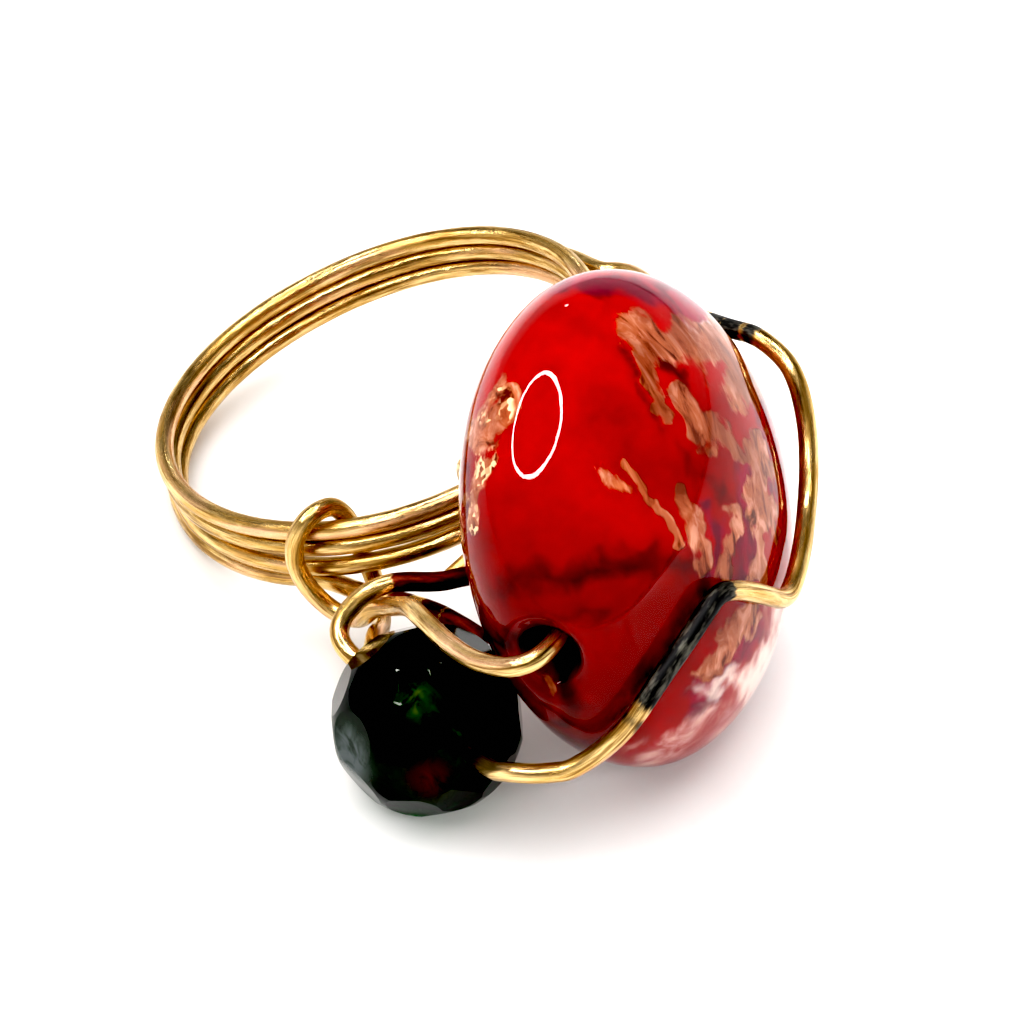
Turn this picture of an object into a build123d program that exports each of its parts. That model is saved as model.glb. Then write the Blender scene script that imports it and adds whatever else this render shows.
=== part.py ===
from build123d import *
import os
from math import cos, pi, radians, sin, sqrt, tan

# A finger ring of brass wire with a glass bead and a small faceted bead, lying on its side.
# Millimetres. The pieces are placed in the ring's own frame first: the finger goes through
# along Z, the middle turn of the hoop lies in the plane Z = 0, and X points to the side where
# the glass bead is. At the end the whole ring is laid down on the three points that it rests on.

# Wire and hoop
wire_dia = 0.81
turn_gap = 0.05            # between turns of the hoop
hoop_inner_dia = 18.6
coil_turns = 3
coil_end = 8.0             # where the coil starts and ends, behind the glass bead, degrees
climb_end = -80.0          # each turn climbs one level from there to here
points_per_turn = 20
hand_shape = (             # how far the hoop is from round, as shares of its radius
    {"order": 2, "cos": 0.009, "sin": -0.002},
    {"order": 3, "cos": -0.023, "sin": 0.007},
)
front_split = 0.30         # how far the lowest turn parts from the others, in turns of wire
split_angle = -115.0       # where it parts most, degrees
split_width = 70.0         # degrees each way
front_turn = -89.0         # the side of the hoop that faces the front, degrees

# Glass bead
glass_dia = 20.0
glass_thick = 11.0
glass_hole_dia = 2.4
dimple_dia = 4.4           # of the round hollow at each end of the hole
dimple_depth = 0.9
glass_side = -50.9         # which side of the hoop it sits on, degrees
glass_turn = -18.0         # where its outer face looks, degrees
glass_roll = 3.3           # how far that face tips up, degrees
hole_tip = 8.0             # how far the front end of its hole tips up, degrees
glass_level = 0.40         # its middle above the middle turn

# Faceted bead
crystal_dia = 7.8
crystal_length = 7.1
crystal_hole_dia = 1.3
crystal_seat = {"along": 0.600, "down": 0.300}   # where it leans on the glass bead, in shares
crystal_turn = -54.2       # where the front end of its hole looks, degrees
crystal_tip = -9.2         # and how far up, degrees
crystal_way = (1.12, -1.20)   # where the wire enters and leaves, in half lengths of the bead
glass_way = (0.85, -1.06)     # the same for the glass bead's hole, in half diameters of it
facet_rows = (             # one row of facets round the hole, from the middle outwards
    {"latitude": 0.0, "count": 10, "turn": 0.0, "reach": 0.950},
    {"latitude": 35.0, "count": 10, "turn": 0.5, "reach": 0.955},
    {"latitude": 66.0, "count": 5, "turn": 0.5, "reach": 0.960},
)

# Clearances
seat_gap = 0.08            # between the glass bead and what leans on it
wire_gap = 0.10            # between a wire and what it passes

# How the model is worked out
bend_share = 0.45          # of the shorter run beside a corner that its bend takes up
drill_share = 1.2          # length of a hole's cutter, as a share of the bead
seat_looks = 90            # spots of the hoop that the glass bead is kept clear of
seat_rounds = 40           # of halving the way to the glass bead's seat
rest_rounds = 30           # of finding the three points that the ring rests on
rest_tolerance = 0.005     # of the corners that those points are taken from
rest_turn = {"wire": 0.2, "bead": 0.04}   # and the angle between them, radians

wire_r = wire_dia / 2
pitch = wire_dia + turn_gap
hoop_r = hoop_inner_dia / 2 + wire_r
glass_r = glass_dia / 2
glass_half = glass_thick / 2
crystal_r = crystal_dia / 2
lay = wire_r + wire_gap
corner_out = hoop_r * (1 / cos(pi / points_per_turn) - 1) / pitch   # bends cut their corners


# Frames that the routes are given in

def rounder(angle):
    """Share by which the hand-bent hoop leaves the circle at an angle."""
    return sum(row["cos"] * cos(row["order"] * radians(angle))
               + row["sin"] * sin(row["order"] * radians(angle)) for row in hand_shape)


def by_hoop(angle, out=0.0, level=0.0):
    """Corner at an angle round the hoop, out and up counted in turns of wire."""
    r = hoop_r * (1 + rounder(angle)) + (out + corner_out) * pitch
    return Vector(r * cos(radians(angle)), r * sin(radians(angle)), level * pitch)


def direction(angle, tip):
    """Unit vector at an angle round the finger hole, tipped up."""
    return Vector(cos(radians(tip)) * cos(radians(angle)),
                  cos(radians(tip)) * sin(radians(angle)), sin(radians(tip)))


glass_out = direction(glass_turn, glass_roll)                     # out of its outer face
hole_aim = direction(glass_turn - 90, hole_tip)
glass_hole = (hole_aim - glass_out * hole_aim.dot(glass_out)).normalized()
glass_down = glass_out.cross(glass_hole)


def beyond_glass(spot, middle):
    """How far a spot is from the glass bead, with the bead's middle at a point."""
    reach = spot - middle
    share = sqrt((reach.dot(glass_out) / glass_half) ** 2
                 + (reach.dot(glass_hole) / glass_r) ** 2
                 + (reach.dot(glass_down) / glass_r) ** 2)
    steepness = sqrt((reach.dot(glass_out) / glass_half ** 2) ** 2
                     + (reach.dot(glass_hole) / glass_r ** 2) ** 2
                     + (reach.dot(glass_down) / glass_r ** 2) ** 2)
    return share * (share - 1) / steepness


def room_to_hoop(middle):
    """Least gap between the glass bead and the hoop, with the bead's middle at a point."""
    return min(beyond_glass(by_hoop(glass_side + side, -corner_out, level), middle) - wire_r
               for side in (180 * look / seat_looks - 90 for look in range(seat_looks))
               for level in (-1, 0, 1))


def slide_out(start, along, room, least):
    """Slide a point from a start along a direction until there is room enough there."""
    near, far = 0.0, glass_dia
    for _ in range(seat_rounds):
        middle = (near + far) / 2
        if room(start + along * middle) < least:
            near = middle
        else:
            far = middle
    return start + along * far


glass_mid = slide_out(direction(glass_side, 0) * hoop_r + Vector(0, 0, glass_level),
                      direction(glass_side, 0), room_to_hoop, seat_gap)


def by_glass(out, along, down):
    """Point near the glass bead, in shares of its half sizes with a wire laid on them."""
    return (glass_mid + glass_out * (out * (glass_half + lay))
            + glass_hole * (along * (glass_r + lay)) + glass_down * (down * (glass_r + lay)))


def in_glass_hole(along):
    """Point on the way of a wire that leans on the side of the glass bead's hole."""
    lean = glass_hole_dia / 2 - lay
    return (glass_mid + glass_hole * (along * glass_r)
            + (glass_out - glass_down).normalized() * lean)


def seat_crystal(along, down):
    """Middle of the faceted bead, leaning on the inner face of the glass bead."""
    out = -sqrt(1 - along ** 2 - down ** 2)
    spot = (glass_out * (out * glass_half) + glass_hole * (along * glass_r)
            + glass_down * (down * glass_r))
    away = (glass_out * (out / glass_half) + glass_hole * (along / glass_r)
            + glass_down * (down / glass_r)).normalized()
    return glass_mid + spot + away * (crystal_r + seat_gap)


crystal_mid = seat_crystal(**crystal_seat)
crystal_hole = direction(crystal_turn, crystal_tip)


def by_crystal(side, front, up):
    """Point near the faceted bead, in shares of its radius with a wire laid on it."""
    return crystal_mid + Vector(side, front, up) * (crystal_r + lay)


def in_crystal_hole(along):
    """Point on the middle line of the faceted bead's hole."""
    return crystal_mid + crystal_hole * (along * crystal_length / 2)


# Routes of the wires, as rows for the helper that each one names

lead_in = (                # from the cut end between the beads to the front of the hoop
    {"side": 0.57, "front": 0.86, "up": 0.01},
    {"side": 0.46, "front": 0.95, "up": 0.09},
    {"side": 0.31, "front": 1.09, "up": 0.15},
    {"side": 0.12, "front": 1.28, "up": 0.19},
    {"side": -0.2, "front": 1.54, "up": 0.2},
    {"side": -0.5, "front": 1.72, "up": 0.22},
)
outer_turn = (             # round the hoop, first below the others and then outside them
    {"angle": -99.5, "out": 0.90, "level": -2.15},
    {"angle": -104.5, "out": 0.15, "level": -2.35},
    {"angle": -113, "out": -0.35, "level": -2.25},
    {"angle": -127, "out": -0.15, "level": -2.3},
    {"angle": -143, "out": 0.0, "level": -2.2},
    {"angle": -160, "out": 0.1, "level": -2.1},
    {"angle": -178, "out": 0.4, "level": -1.98},
    {"angle": -196, "out": 0.85, "level": -1.6},
    {"angle": -213, "out": 1.03, "level": -1.0},
    {"angle": -230, "out": 0.98, "level": -0.55},
    {"angle": -248, "out": 0.95, "level": -0.5},
    {"angle": -266, "out": 0.95, "level": -0.5},
    {"angle": -284, "out": 0.95, "level": -0.5},
    {"angle": -302, "out": 0.95, "level": -0.5},
    {"angle": -318, "out": 0.95, "level": -0.5},
    {"angle": -330, "out": 1.1, "level": -0.45},
)
face_wire = (              # from the hoop behind the glass bead, round its outer face and front
    {"out": -1.02, "along": -1.64, "down": -0.18},
    {"out": -0.88, "along": -1.60, "down": -0.18},
    {"out": -0.74, "along": -1.52, "down": -0.18},
    {"out": -0.60, "along": -1.43, "down": -0.18},
    {"out": -0.44, "along": -1.33, "down": -0.18},
    {"out": -0.26, "along": -1.23, "down": -0.19},
    {"out": -0.03, "along": -1.12, "down": -0.20},
    {"out": 0.17, "along": -1.02, "down": -0.22},
    {"out": 0.34, "along": -0.96, "down": -0.22},
    {"out": 0.51, "along": -0.91, "down": -0.22},
    {"out": 0.66, "along": -0.86, "down": -0.18},
    {"out": 0.77, "along": -0.82, "down": -0.12},
    {"out": 0.82, "along": -0.78, "down": -0.05},
    {"out": 0.84, "along": -0.74, "down": 0.03},
    {"out": 0.85, "along": -0.68, "down": 0.13},
    {"out": 0.85, "along": -0.58, "down": 0.24},
    {"out": 0.86, "along": -0.44, "down": 0.33},
    {"out": 0.92, "along": -0.24, "down": 0.37},
    {"out": 0.93, "along": -0.05, "down": 0.42},
    {"out": 0.93, "along": 0.06, "down": 0.40},
    {"out": 0.97, "along": 0.22, "down": 0.26},
    {"out": 0.94, "along": 0.37, "down": 0.13},
    {"out": 0.90, "along": 0.46, "down": 0.08},
    {"out": 0.85, "along": 0.54, "down": 0.10},
    {"out": 0.77, "along": 0.64, "down": 0.14},
    {"out": 0.66, "along": 0.74, "down": 0.19},
    {"out": 0.54, "along": 0.82, "down": 0.25},
    {"out": 0.39, "along": 0.88, "down": 0.33},
    {"out": 0.22, "along": 0.91, "down": 0.40},
    {"out": 0.03, "along": 0.92, "down": 0.46},
    {"out": -0.14, "along": 0.95, "down": 0.49},
)
over_crystal = (           # on to the near end of the faceted bead's hole
    {"side": 1.16, "front": -1.01, "up": -0.13},
    {"side": 1.03, "front": -1.02, "up": -0.09},
    {"side": 0.90, "front": -1.0, "up": -0.06},
    {"side": 0.77, "front": -0.94, "up": -0.06},
)
front_loop = (             # from the far end of that hole up and over, back to the hoop
    {"side": -0.69, "front": 0.87, "up": 0.3},
    {"side": -0.75, "front": 1.01, "up": 0.39},
    {"side": -0.7, "front": 1.13, "up": 0.48},
    {"side": -0.56, "front": 1.2, "up": 0.56},
    {"side": -0.38, "front": 1.24, "up": 0.64},
    {"side": -0.19, "front": 1.26, "up": 0.66},
    {"side": -0.01, "front": 1.28, "up": 0.61},
    {"side": 0.15, "front": 1.3, "up": 0.53},
    {"side": 0.31, "front": 1.33, "up": 0.46},
    {"side": 0.46, "front": 1.41, "up": 0.4},
)
hook = (                   # round the hoop behind the glass bead, and the tail that comes back
    {"angle": -69.5, "out": 2.6, "level": -2.15},
    {"angle": -67.5, "out": 1.5, "level": -2.45},
    {"angle": -66.5, "out": 0.75, "level": -2.45},
    {"angle": -66.0, "out": 0.0, "level": -2.42},
    {"angle": -65.5, "out": -0.85, "level": -2.08},
    {"angle": -65.0, "out": -1.23, "level": -1.2},
    {"angle": -64.5, "out": -1.23, "level": 0.95},
    {"angle": -64.0, "out": -0.87, "level": 1.82},
    {"angle": -63.7, "out": 0.0, "level": 2.14},
    {"angle": -63.5, "out": 0.84, "level": 1.78},
    {"angle": -63.5, "out": 1.21, "level": 0.95},
    {"angle": -65.5, "out": 1.4, "level": -0.3},
    {"angle": -69.5, "out": 1.6, "level": -1.1},
    {"angle": -74.0, "out": 1.9, "level": -1.45},
    {"angle": -78.6, "out": 2.1, "level": -1.75},
)
front_wrap = (             # tail, then once round the hoop at the front
    {"angle": -95.2, "out": 4.6, "level": -2.75},
    {"angle": -95.5, "out": 3.35, "level": -2.85},
    {"angle": -96.2, "out": 2.1, "level": -3.7},
    {"angle": -97.2, "out": 0.6, "level": -3.8},
    {"angle": -98.5, "out": -0.6, "level": -3.45},
    {"angle": -99.5, "out": -1.2, "level": -2.5},
    {"angle": -99.5, "out": -1.15, "level": -1.2},
    {"angle": -99.0, "out": -1.13, "level": 0.2},
    {"angle": -99.5, "out": -1.14, "level": 1.12},
    {"angle": -101.0, "out": -0.86, "level": 1.90},
    {"angle": -103.3, "out": -0.1, "level": 2.3},
    {"angle": -106.4, "out": 0.55, "level": 2.15},
    {"angle": -109.4, "out": 0.98, "level": 1.4},
    {"angle": -111.3, "out": 1.12, "level": 0.4},
    {"angle": -111.9, "out": 1.12, "level": -0.6},
    {"angle": -111.0, "out": 1.12, "level": -1.77},
    {"angle": -108.3, "out": 1.15, "level": -2.85},
    {"angle": -104.5, "out": 1.3, "level": -3.35},
    {"angle": -100.0, "out": 1.85, "level": -3.05},
    {"angle": -96.5, "out": 2.75, "level": -2.05},
)
to_glass = (               # over the faceted bead to the glass bead
    {"side": -0.42, "front": 1.35, "up": 0.36},
    {"side": -0.27, "front": 1.19, "up": 0.46},
    {"side": -0.01, "front": 0.82, "up": 0.7},
    {"side": 0.15, "front": 0.5, "up": 0.92},
    {"side": 0.32, "front": 0.14, "up": 1.01},
    {"side": 0.55, "front": -0.3, "up": 1.05},
)
into_glass = (
    {"out": -0.5, "along": 0.96, "down": -0.05},
    {"out": -0.28, "along": 1.02, "down": -0.05},
    {"out": -0.13, "along": 1.055, "down": -0.06},
    {"out": -0.01, "along": 1.045, "down": -0.065},
    {"out": 0.06, "along": 0.985, "down": -0.06},
)
back_wrap = (              # once round the hoop behind the glass bead, to the second end
    {"angle": -3.0, "out": 3.2, "level": -1.8},
    {"angle": 0.5, "out": 1.6, "level": -2.6},
    {"angle": 1.5, "out": 0.75, "level": -3.08},
    {"angle": 2.0, "out": 0.0, "level": -3.22},
    {"angle": 2.0, "out": -0.83, "level": -2.82},
    {"angle": 2.0, "out": -1.18, "level": -2.0},
    {"angle": 2.0, "out": -1.17, "level": 0.05},
    {"angle": 2.0, "out": -0.83, "level": 0.82},
    {"angle": 2.2, "out": 0.0, "level": 1.18},
    {"angle": 2.4, "out": 0.83, "level": 0.82},
    {"angle": 2.4, "out": 1.17, "level": 0.05},
    {"angle": 2.6, "out": 1.17, "level": -1.2},
)


def coil():
    """Points of the hoop wire: level turns, each climbing one level behind the glass bead."""
    points = []
    for step in range(coil_turns * points_per_turn + 1):
        travel = step * 360 / points_per_turn
        turn = min(int(travel // 360), coil_turns - 1)
        climb = min((travel - 360 * turn) / (coil_end - climb_end), 1)
        level = turn - (coil_turns + 1) / 2 + climb * climb * (3 - 2 * climb)
        angle = coil_end - travel
        if turn == 0:
            off = min(abs(angle - split_angle) / split_width, 1)
            level -= front_split * cos(off * pi / 2) ** 2
        points.append(by_hoop(angle, 0, level))
    return points


frame_route = ([by_crystal(**row) for row in lead_in] + [by_hoop(**row) for row in outer_turn]
               + [by_glass(**row) for row in face_wire] + [by_crystal(**row) for row in over_crystal]
               + [in_crystal_hole(along) for along in crystal_way]
               + [by_crystal(**row) for row in front_loop] + [by_hoop(**row) for row in hook])
bead_route = ([by_hoop(**row) for row in front_wrap] + [by_crystal(**row) for row in to_glass]
              + [by_glass(**row) for row in into_glass]
              + [in_glass_hole(along) for along in glass_way]
              + [by_hoop(**row) for row in back_wrap])


# Solids

def bent_wire(points):
    """Round wire along straight runs, each corner rounded as far as its runs allow."""
    radii = []
    for before, here, after in zip(points, points[1:], points[2:]):
        turn = radians((here - before).get_angle(after - here))
        shorter = min((here - before).length, (after - here).length)
        radii.append(bend_share * shorter / tan(turn / 2))
    path = FilletPolyline(*points, radius=radii)
    start = Plane(origin=points[0], z_dir=points[1] - points[0])
    wire = sweep(start * Circle(wire_r), path=path)
    print("wire of", round(path.length, 1), "mm, tightest bend", round(min(radii), 2), "mm")
    return wire.solid()


def make_glass():
    """Lentil bead: a flat ellipsoid drilled across, hollowed where the hole comes out."""
    bead = scale(Rot(0, 0, 90) * Sphere(glass_r), by=(1, 1, glass_half / glass_r))
    bead -= Rot(0, 90, 0) * Cylinder(glass_hole_dia / 2, glass_dia * drill_share)
    ball = ((dimple_dia / 2) ** 2 + dimple_depth ** 2) / (2 * dimple_depth)
    for end in (-1, 1):
        bead -= Pos(end * (glass_r - dimple_depth + ball), 0, 0) * Sphere(ball)
    return (Plane(origin=glass_mid, x_dir=glass_hole, z_dir=glass_out).location * bead).solid()


def make_crystal():
    """Round bead cut into facets, with flat ends and a straight hole along local Z."""
    bead = Sphere(crystal_r) & Box(crystal_dia, crystal_dia, crystal_length)
    for row in facet_rows:
        for side in ((1,) if row["latitude"] == 0 else (1, -1)):
            for number in range(row["count"]):
                normal = direction((number + row["turn"]) * 360 / row["count"],
                                   side * row["latitude"])
                cut = Plane(origin=normal * (row["reach"] * crystal_r), z_dir=normal)
                bead = split(bead, bisect_by=cut, keep=Keep.BOTTOM)
    bead -= Cylinder(crystal_hole_dia / 2, crystal_length * drill_share)
    return (Plane(origin=crystal_mid, x_dir=crystal_hole.cross(Vector(0, 0, 1)),
                  z_dir=crystal_hole).location * bead).solid()


pieces = {
    "hoop_wire": bent_wire(coil()),
    "frame_wire": bent_wire(frame_route),
    "bead_wire": bent_wire(bead_route),
    "glass_bead": make_glass(),
    "crystal_bead": make_crystal(),
}

# Lay the ring on its side: it rests on the far side of the hoop and on both beads
corners = {name: solid.tessellate(rest_tolerance, rest_turn[name.split("_")[1]])[0]
           for name, solid in pieces.items()}
away_from_glass = direction(glass_side, 0) * -1
far_side = [corner for corner in corners["hoop_wire"] + corners["frame_wire"]
            if corner.dot(away_from_glass) > 0]
up = Vector(0, 0, 1)
for _ in range(rest_rounds):
    feet = [min(group, key=lambda corner: corner.dot(up))
            for group in (far_side, corners["glass_bead"], corners["crystal_bead"])]
    lean = (feet[1] - feet[0]).cross(feet[2] - feet[0]).normalized()
    up = lean if lean.Z > 0 else lean * -1
front = direction(front_turn, 0)
backward = (front * -1 + up * front.dot(up)).normalized()
floor = Plane(origin=feet[0], x_dir=backward.cross(up), z_dir=up)
laid = {name: floor.location.inverse() * solid for name, solid in pieces.items()}
boxes = [solid.bounding_box() for solid in laid.values()]
left, right = min(box.min.X for box in boxes), max(box.max.X for box in boxes)
near, far = min(box.min.Y for box in boxes), max(box.max.Y for box in boxes)
middle = Pos(-(left + right) / 2, -(near + far) / 2, -min(box.min.Z for box in boxes))
print("floor through", floor.origin, "with right", floor.x_dir, "and up", floor.z_dir)
print("then moved by", middle.position)

os.makedirs("parts", exist_ok=True)
for name, solid in laid.items():
    export_step(middle * solid, "parts/" + name + ".step")
    print(name, "volume", round(solid.volume, 2), "mm3")
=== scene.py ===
from math import cos, pi, radians, sin, sqrt
import bmesh
import bpy
import numpy as np
from mathutils import Matrix, Vector, noise


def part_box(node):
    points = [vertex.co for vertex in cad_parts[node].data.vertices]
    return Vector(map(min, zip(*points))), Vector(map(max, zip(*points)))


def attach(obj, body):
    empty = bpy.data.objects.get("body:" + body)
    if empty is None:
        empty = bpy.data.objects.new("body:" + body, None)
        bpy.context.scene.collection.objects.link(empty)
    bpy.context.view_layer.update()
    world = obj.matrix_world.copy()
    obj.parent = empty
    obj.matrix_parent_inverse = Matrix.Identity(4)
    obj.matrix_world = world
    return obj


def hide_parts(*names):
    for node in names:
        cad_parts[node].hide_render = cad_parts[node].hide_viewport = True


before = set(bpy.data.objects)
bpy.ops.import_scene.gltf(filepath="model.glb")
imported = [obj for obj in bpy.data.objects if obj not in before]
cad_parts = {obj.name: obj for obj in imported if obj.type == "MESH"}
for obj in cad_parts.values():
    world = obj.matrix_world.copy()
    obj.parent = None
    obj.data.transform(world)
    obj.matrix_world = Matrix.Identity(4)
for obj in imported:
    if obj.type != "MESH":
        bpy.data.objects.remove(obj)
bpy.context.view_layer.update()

# A wire wrapped ring on its side. Sizes are millimetres and degrees, as in the part's source, and Blender's
# own numbers are metres.
mm = 0.001

# How the source lays the ring down: its own frame's ways right and up, and where the hoop's middle comes
layDown = {
    "right": Vector((0.950398, 0.016589, -0.310595)),
    "up": Vector((0.311035, -0.047255, 0.949223)),
    "hoopMiddle": Vector((-3.7505, 6.4289, 5.2084)),
}
hoop = {"radius": 9.705, "pitch": 0.86, "turns": 3, "perTurn": 20, "end": 8.0, "climbEnd": -80.0,
        "split": 0.30, "splitAngle": -115.0, "splitWidth": 70.0,
        "handShape": [(2, 0.009, -0.002), (3, -0.023, 0.007)]}      # order, share of cosine and of sine
wire = {"radius": 0.405, "gap": 0.10, "sides": 28, "step": 0.07, "unevenness": 0.012, "dentScale": 0.8,
        "seedStep": 7.3, "blunt": 0.22, "bluntReach": 0.35}         # the last two are shares of the radius
glassBead = {"radius": 10.0, "half": 5.5, "hole": 1.2, "turn": -18.0, "roll": 3.3, "tip": 8.0,
             "dimple": 2.2, "dimpleDepth": 0.9, "lip": 0.2, "mouth": 0.10}
facetBead = {"radius": 3.9, "length": 7.1, "hole": 0.65, "turn": -54.2, "tip": -9.2}
photo = {"side": 1024, "lens": 171.88, "sensor": 36.0}
cameraStand = {"place": Vector((1.2981, -154.1748, 138.4272)), "azimuth": 0.025, "elevation": 41.055,
               "roll": 1.125}


def placed(name, data):
    # A new object of the scene
    made = bpy.data.objects.new(name, data)
    bpy.context.scene.collection.objects.link(made)
    return made


def meshOf(shape, name):
    # What bmesh has made, as a mesh
    mesh = bpy.data.meshes.new(name)
    shape.to_mesh(mesh)
    shape.free()
    return mesh


# Places

def way(spot):
    # A direction of the ring's own frame, as it lies
    back = layDown["up"].cross(layDown["right"])
    return Vector((spot.dot(layDown["right"]), spot.dot(back), spot.dot(layDown["up"])))


def aim(angle, tip):
    return way(Vector((cos(radians(tip)) * cos(radians(angle)), cos(radians(tip)) * sin(radians(angle)),
                       sin(radians(tip)))))


def middleOf(node):
    low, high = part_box(node)
    return (low + high) / 2 / mm


glassOut = aim(glassBead["turn"], glassBead["roll"])
glassHole = aim(glassBead["turn"] - 90, glassBead["tip"])
glassHole = (glassHole - glassOut * glassHole.dot(glassOut)).normalized()
glassDown = glassOut.cross(glassHole)
glassMiddle = middleOf("glass_bead")
facetHole = aim(facetBead["turn"], facetBead["tip"])
facetMiddle = middleOf("crystal_bead")
lay = wire["radius"] + wire["gap"]


def byHoop(angle, out, level):
    # Out and up are counted in pitches. The curve cuts its route's corners, so they stand out by that much.
    turn = radians(angle)
    shape = sum(c * cos(order * turn) + s * sin(order * turn) for order, c, s in hoop["handShape"])
    cutCorner = hoop["radius"] * (1 / cos(pi / hoop["perTurn"]) - 1)
    r = hoop["radius"] * (1 + shape) + out * hoop["pitch"] + cutCorner
    return layDown["hoopMiddle"] + way(Vector((r * cos(turn), r * sin(turn), level * hoop["pitch"])))


def byGlass(out, along, down):
    return (glassMiddle + glassOut * (out * (glassBead["half"] + lay))
            + glassHole * (along * (glassBead["radius"] + lay))
            + glassDown * (down * (glassBead["radius"] + lay)))


def inGlass(along):
    # In the glass bead's hole, where the wire leans on its wall
    lean = (glassOut - glassDown).normalized() * (glassBead["hole"] - lay)
    return glassMiddle + glassHole * (along * glassBead["radius"]) + lean


def byFacet(side, front, up):
    return facetMiddle + way(Vector((side, front, up))) * (facetBead["radius"] + lay)


def inFacet(along):
    # In the faceted bead's hole
    return facetMiddle + facetHole * (along * facetBead["length"] / 2)


# Camera, as the photograph has it

def makeCamera():
    data = bpy.data.cameras.new("photoCamera")
    data.lens, data.sensor_width = photo["lens"], photo["sensor"]
    data.clip_start, data.clip_end = 0.01, 10
    camera = placed("photoCamera", data)
    camera.location = cameraStand["place"] * mm
    turn = (Matrix.Rotation(radians(-cameraStand["azimuth"]), 3, "Z")
            @ Matrix.Rotation(radians(90 - cameraStand["elevation"]), 3, "X")
            @ Matrix.Rotation(radians(-cameraStand["roll"]), 3, "Z"))
    camera.rotation_euler = turn.to_euler()
    bpy.context.scene.camera = camera
    return turn


cameraTurn = makeCamera()
photoFocus = photo["side"] * photo["lens"] / photo["sensor"]


def toPhoto(spots):
    # Where points, in millimetres, show in the photograph
    seen = (spots - np.array(cameraStand["place"])) @ np.array(cameraTurn)
    return photo["side"] / 2 + np.stack([seen[:, 0], -seen[:, 1]], 1) / -seen[:, 2:3] * photoFocus


def lookWay(x, y):
    # The way out of the camera through a spot of the photograph
    across, down = (x - photo["side"] / 2) / photoFocus, (y - photo["side"] / 2) / photoFocus
    return (cameraTurn @ Vector((across, -down, -1))).normalized()


print("camera stands")


# Nodes

class Flow:
    # A socket that can be reckoned with as if it were a number
    def __init__(self, tree, socket):
        self.tree, self.socket = tree, socket

    def maths(self, operation, *others):
        return plug(self.tree, "ShaderNodeMath", {"operation": operation}, dict(enumerate((self, *others))))

    def __add__(self, other):
        return self.maths("ADD", other)

    def __sub__(self, other):
        return self.maths("SUBTRACT", other)

    def __rsub__(self, other):
        return plug(self.tree, "ShaderNodeMath", {"operation": "SUBTRACT"}, {0: other, 1: self})

    def __mul__(self, other):
        return self.maths("MULTIPLY", other)

    def __truediv__(self, other):
        return self.maths("DIVIDE", other)

    __radd__, __rmul__ = __add__, __mul__

    def least(self, other):
        return self.maths("MINIMUM", other)

    def most(self, other):
        return self.maths("MAXIMUM", other)

    def step(self, low, high):
        # 0 below low, 1 above high, and smooth in between
        return plug(self.tree, "ShaderNodeMapRange", {"interpolation_type": "SMOOTHSTEP"},
                    {0: self, 1: low, 2: high, 3: 0.0, 4: 1.0})


def plug(tree, kind, settings=None, values=None, outlet=0):
    # Any node: its settings first, then the numbers or links of its sockets
    node = tree.nodes.new(kind)
    for name, value in (settings or {}).items():
        setattr(node, name, value)
    for name, value in (values or {}).items():
        if isinstance(value, Flow):
            tree.links.new(value.socket, node.inputs[name])
        else:
            node.inputs[name].default_value = value
    return Flow(tree, node.outputs[outlet])


def mixed(amount, first, second):
    # Colours, given as three numbers or as flows
    pair = [(*colour, 1) if isinstance(colour, tuple) else colour for colour in (first, second)]
    return plug(amount.tree, "ShaderNodeMix", {"data_type": "RGBA"}, {0: amount, 6: pair[0], 7: pair[1]}, 2)


def scaledVector(vector, sizes):
    return plug(vector.tree, "ShaderNodeVectorMath", {"operation": "MULTIPLY"}, {0: vector, 1: sizes})


def cloud(vector, size, detail=3.0, rough=0.5, twist=0.0):
    values = {"Vector": vector, "Scale": size, "Detail": detail, "Roughness": rough, "Distortion": twist}
    return plug(vector.tree, "ShaderNodeTexNoise", None, values)


def bumped(height, depth, under=None):
    values = {"Strength": 1.0, "Distance": depth * mm, "Height": height}
    if under is not None:
        values["Normal"] = under
    return plug(height.tree, "ShaderNodeBump", None, values)


def startMaterial(name):
    material = bpy.data.materials.new(name)
    material.use_nodes = True
    tree = material.node_tree
    tree.nodes.clear()
    return material, tree


def shaded(tree, values):
    return plug(tree, "ShaderNodeBsdfPrincipled", None, values)


def endMaterial(tree, surface):
    out = tree.nodes.new("ShaderNodeOutputMaterial")
    tree.links.new(surface.socket, out.inputs["Surface"])


def ownAttribute(tree, name, outlet=2):
    return plug(tree, "ShaderNodeAttribute", {"attribute_name": name}, None, outlet)


def bodyPlace(tree):
    # Object coordinates in millimetres
    spot = plug(tree, "ShaderNodeTexCoord", None, None, 3)
    return scaledVector(spot, (1 / mm, 1 / mm, 1 / mm))


def nearTo(place, spot, inner, outer):
    # 1 near a spot given in millimetres, 0 away from it
    far = plug(place.tree, "ShaderNodeVectorMath", {"operation": "DISTANCE"}, {0: place, 1: tuple(spot)}, 1)
    return 1 - far.step(inner, outer)


def nearAny(place, reaches):
    # The same for several spots, each with how far it reaches fully and at all
    whole = None
    for spot, inner, outer in reaches:
        near = nearTo(place, spot, inner, outer)
        whole = near if whole is None else whole.most(near)
    return whole


# Wires

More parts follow.
